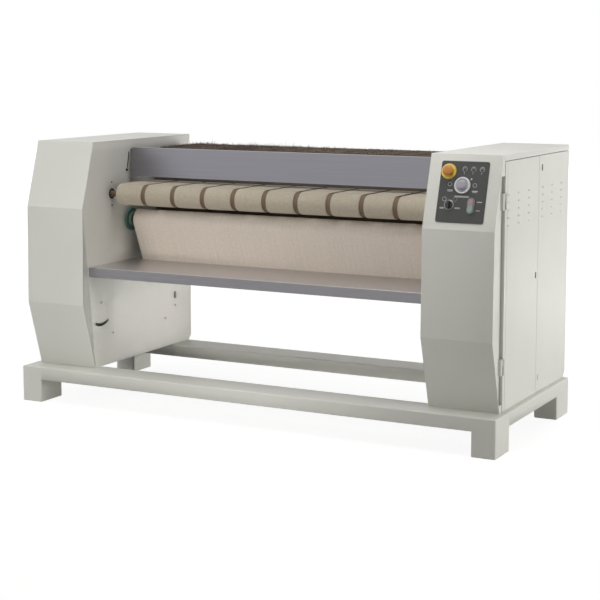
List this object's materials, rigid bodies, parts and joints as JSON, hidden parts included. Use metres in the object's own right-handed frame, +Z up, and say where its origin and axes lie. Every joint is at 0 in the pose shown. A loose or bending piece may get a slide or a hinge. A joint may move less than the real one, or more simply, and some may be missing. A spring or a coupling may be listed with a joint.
{
  "type": "flatwork ironer",
  "caption": "Free-standing flatwork ironer: heated drum between two sheet-metal casings, feed belts, delivery apron, steel tray and a hinged front door with controls.",
  "frame": {"origin": "centre of the overall footprint, on the floor", "axes": "+X to the right seen from the operator's side, +Y to the back, +Z up"},
  "size_m": [2.1, 0.852, 1.085],
  "materials": {
    "white_paint": "textured off-white powder coat",
    "stainless": "brushed stainless sheet",
    "drum_steel": "turned and polished steel",
    "zinc_steel": "zinc-plated sheet",
    "needle_felt": "brown needle felt with a frayed edge",
    "apron_cloth": "cream woven cloth",
    "belt_cloth": "cream woven belt",
    "roller_cover": "brown rubber cover",
    "green_paint": "green enamel",
    "motor_paint": "grey-blue enamel",
    "rubber": "black rubber",
    "panel_film": "matt dark grey",
    "yellow_plastic": "glossy yellow",
    "orange_plastic": "glossy orange red",
    "white_plastic": "glossy white",
    "black_plastic": "glossy black",
    "red_plastic": "glossy red",
    "green_plastic": "glossy green",
    "lamp_lens": "clear white lens"
  },
  "bodies": {
    "frame": {"base_front_rail": "white_paint", "base_rear_rail": "white_paint", "base_left_rail": "white_paint", "base_right_rail": "white_paint", "leg_front_left": "white_paint", "leg_front_right": "white_paint", "leg_rear_left": "white_paint", "leg_rear_right": "white_paint", "left_side_plate": "white_paint", "left_front_cover": "white_paint", "left_top_cover": "white_paint", "left_outer_panel": "white_paint", "left_rear_panel": "white_paint", "right_side_plate": "white_paint", "right_hinge_post": "white_paint", "right_top_cover": "white_paint", "right_outer_panel_front": "white_paint", "right_outer_panel_rear": "white_paint", "right_rear_panel": "white_paint", "apron_bearing_left": "green_paint", "apron_bearing_right": "green_paint", "ironing_felt": "needle_felt", "delivery_apron": "apron_cloth", "feed_belt_01": "belt_cloth", "feed_belt_02": "belt_cloth", "feed_belt_03": "belt_cloth", "feed_belt_04": "belt_cloth", "feed_belt_05": "belt_cloth", "feed_belt_06": "belt_cloth", "feed_belt_07": "belt_cloth", "feed_belt_08": "belt_cloth", "feed_belt_09": "belt_cloth", "feed_belt_10": "belt_cloth", "gearmotor": "motor_paint", "drive_belt": "rubber", "receiving_tray": "stainless", "rear_cover": "white_paint", "electrical_board": "zinc_steel"},
    "drum": {"heating_drum": "drum_steel"},
    "feed_roller_front": {"feed_roller_front": "roller_cover"},
    "feed_roller_rear": {"feed_roller_rear": "roller_cover"},
    "felt_roller_front": {"felt_roller_front": "roller_cover"},
    "felt_roller_upper": {"felt_roller_upper": "roller_cover"},
    "felt_roller_lower": {"felt_roller_lower": "roller_cover"},
    "apron_roller_front": {"apron_roller_front": "roller_cover"},
    "apron_roller_lower": {"apron_roller_lower": "roller_cover"},
    "apron_roller_rear": {"apron_roller_rear": "roller_cover"},
    "motor_drive": {"motor_pulley": "drum_steel"},
    "guard": {"finger_guard": "stainless"},
    "door": {"right_front_door": "white_paint", "control_panel": "panel_film", "estop_collar": "yellow_plastic", "pilot_lamp_1": "lamp_lens", "pilot_lamp_2": "lamp_lens", "pilot_lamp_3": "lamp_lens"},
    "estop": {"estop_button": "orange_plastic"},
    "dial": {"thermostat_dial": "white_plastic"},
    "selector": {"selector_knob": "black_plastic"},
    "stop": {"stop_button": "red_plastic"},
    "start": {"start_button": "green_plastic"}
  },
  "joints": [
    {"name": "drum_spin", "type": "hinge", "parent": "frame", "child": "drum", "pos_m": [0, 0.229, 0.8615], "axis": [-1, 0, 0], "continuous": true},
    {"name": "feed_front_spin", "type": "hinge", "parent": "frame", "child": "feed_roller_front", "pos_m": [0, -0.1935, 0.8645], "axis": [-1, 0, 0], "continuous": true},
    {"name": "feed_rear_spin", "type": "hinge", "parent": "frame", "child": "feed_roller_rear", "pos_m": [0, 0.02091, 0.881], "axis": [-1, 0, 0], "continuous": true},
    {"name": "felt_front_spin", "type": "hinge", "parent": "frame", "child": "felt_roller_front", "pos_m": [0, 0.11167, 1.018], "axis": [-1, 0, 0], "continuous": true},
    {"name": "felt_upper_spin", "type": "hinge", "parent": "frame", "child": "felt_roller_upper", "pos_m": [0, 0.3855, 1.018], "axis": [-1, 0, 0], "continuous": true},
    {"name": "felt_lower_spin", "type": "hinge", "parent": "frame", "child": "felt_roller_lower", "pos_m": [0, 0.3855, 0.705], "axis": [-1, 0, 0], "continuous": true},
    {"name": "apron_front_spin", "type": "hinge", "parent": "frame", "child": "apron_roller_front", "pos_m": [0, -0.0655, 0.747], "axis": [-1, 0, 0], "continuous": true},
    {"name": "apron_lower_spin", "type": "hinge", "parent": "frame", "child": "apron_roller_lower", "pos_m": [0, 0.016, 0.539], "axis": [-1, 0, 0], "continuous": true},
    {"name": "apron_rear_spin", "type": "hinge", "parent": "frame", "child": "apron_roller_rear", "pos_m": [0, 0.28883, 0.67738], "axis": [-1, 0, 0], "continuous": true},
    {"name": "motor_spin", "type": "hinge", "parent": "frame", "child": "motor_drive", "pos_m": [0, 0.074, 0.43], "axis": [-1, 0, 0], "continuous": true},
    {"name": "guard_tilt", "type": "hinge", "parent": "frame", "child": "guard", "pos_m": [0, -0.0445, 1.039], "axis": [1, 0, 0], "range_deg": [0, 8], "stiffness_Nm_per_rad": 20, "springref_deg": -5.73},
    {"name": "door_swing", "type": "hinge", "parent": "frame", "child": "door", "pos_m": [1.0308, -0.302, 0.6], "axis": [0, 0, 1], "range_deg": [0, 100]},
    {"name": "estop_push", "type": "slide", "parent": "door", "child": "estop", "axis": [0, 0.9552, -0.2958], "range_m": [0, 0.005], "stiffness_N_per_m": 300, "springref_m": -0.002},
    {"name": "stop_push", "type": "slide", "parent": "door", "child": "stop", "axis": [0, 0.9552, -0.2958], "range_m": [0, 0.003], "stiffness_N_per_m": 200, "springref_m": -0.002},
    {"name": "start_push", "type": "slide", "parent": "door", "child": "start", "axis": [0, 0.9552, -0.2958], "range_m": [0, 0.003], "stiffness_N_per_m": 200, "springref_m": -0.002},
    {"name": "dial_turn", "type": "hinge", "parent": "door", "child": "dial", "pos_m": [0.8845, -0.3554, 0.97393], "axis": [0, 0.9552, -0.2958], "range_deg": [0, 270]},
    {"name": "selector_turn", "type": "hinge", "parent": "door", "child": "selector", "pos_m": [0.8415, -0.377, 0.90419], "axis": [0, -0.9552, 0.2958], "range_deg": [-45, 45]}
  ],
  "couplings": [
    {"joint": "feed_front_spin", "follows": "drum_spin", "ratio": 4.0241},
    {"joint": "feed_rear_spin", "follows": "drum_spin", "ratio": 6.68},
    {"joint": "felt_front_spin", "follows": "drum_spin", "ratio": -8.35},
    {"joint": "felt_upper_spin", "follows": "drum_spin", "ratio": -8.35},
    {"joint": "felt_lower_spin", "follows": "drum_spin", "ratio": -8.35},
    {"joint": "apron_front_spin", "follows": "drum_spin", "ratio": -4.175},
    {"joint": "apron_lower_spin", "follows": "drum_spin", "ratio": -5.0606},
    {"joint": "apron_rear_spin", "follows": "drum_spin", "ratio": -8.35},
    {"joint": "motor_spin", "follows": "drum_spin", "ratio": 3.5157}
  ]
}
